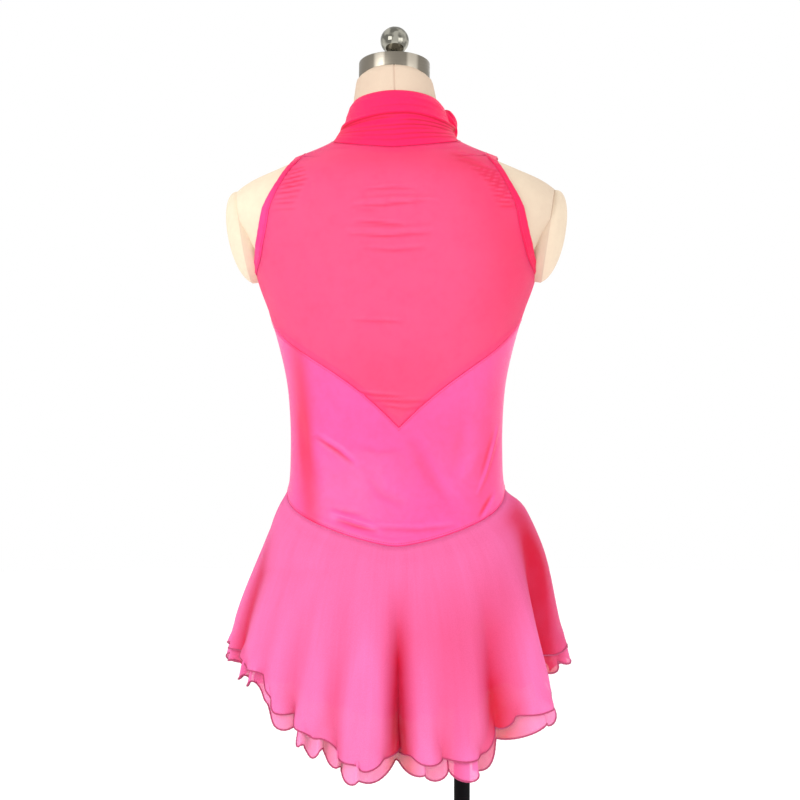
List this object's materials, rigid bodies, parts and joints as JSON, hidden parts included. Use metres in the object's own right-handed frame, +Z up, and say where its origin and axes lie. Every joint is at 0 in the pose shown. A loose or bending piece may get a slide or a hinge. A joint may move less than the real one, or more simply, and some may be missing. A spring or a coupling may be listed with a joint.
{
  "type": "figure skating dress on a dress form",
  "caption": "Sleeveless skating dress with a ruched high collar, sheer mesh back and flared chiffon skirt, on a limbless dress form with a pole stand.",
  "frame": {"origin": "centre of the underside of the stand's round base", "axes": "+X towards the wearer's right, +Y forward, towards the front of the dress, +Z up"},
  "size_m": [0.42, 0.42, 1.346],
  "materials": {
    "sheer_mesh": "sheer stretch mesh, coral pink over the form",
    "ruched_mesh": "gathered stretch mesh, rose pink",
    "binding": "folded spandex edge, rose pink",
    "spandex": "smooth spandex with a satin sheen, magenta pink",
    "chiffon": "fine chiffon in two layers, pink, with a thread-rolled edge",
    "form_jersey": "cream jersey cover over a firm form",
    "neck_cap_steel": "brushed round the neck",
    "ball_chrome": "polished",
    "stand_black": "satin black"
  },
  "bodies": {
    "root": {"back_sheer": "sheer_mesh", "back_lower": "spandex", "front": "spandex", "armhole_binding_right": "binding", "armhole_binding_left": "binding", "collar": "ruched_mesh", "collar_knot": "ruched_mesh", "skirt_outer_back": "chiffon", "skirt_outer_front": "chiffon", "skirt_under_back": "chiffon", "skirt_under_front": "chiffon", "briefs": "spandex", "form_torso": "form_jersey", "form_shoulder_cap_right": "form_jersey", "form_shoulder_cap_left": "form_jersey", "form_neck_cap": "neck_cap_steel", "form_neck_ball": "ball_chrome", "stand_base": "stand_black", "stand_hub": "stand_black", "stand_pole": "stand_black"}
  },
  "joints": []
}
